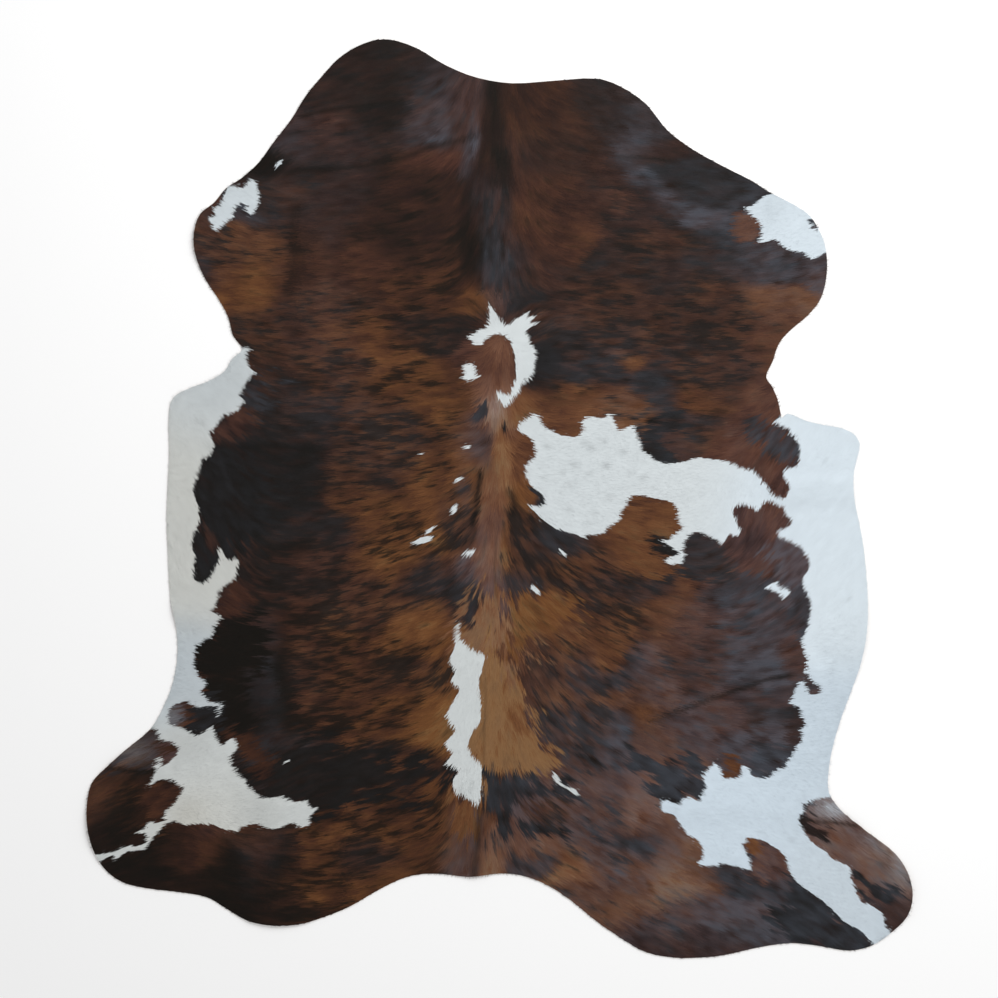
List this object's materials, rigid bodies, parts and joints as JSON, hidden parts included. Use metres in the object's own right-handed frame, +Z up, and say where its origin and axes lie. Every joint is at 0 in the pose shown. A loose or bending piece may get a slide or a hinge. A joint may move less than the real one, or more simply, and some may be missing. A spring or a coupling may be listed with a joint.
{
  "type": "cowhide rug",
  "caption": "Whole hair-on cowhide laid flat as a rug, with neck, leg and belly lobes and soft fold creases, resting on its suede side.",
  "frame": {"origin": "middle of the hide's footprint, on the floor it lies on", "axes": "+Y along the spine towards the neck, +X to the right seen from above with the neck at the top, +Z up"},
  "size_m": [1.98, 2.203, 0.0134],
  "materials": {
    "hair_on_hide": "short glossy hair lying flat, dark brindle with pale areas, suede underside"
  },
  "bodies": {
    "root": {"hide": "hair_on_hide"}
  },
  "joints": []
}
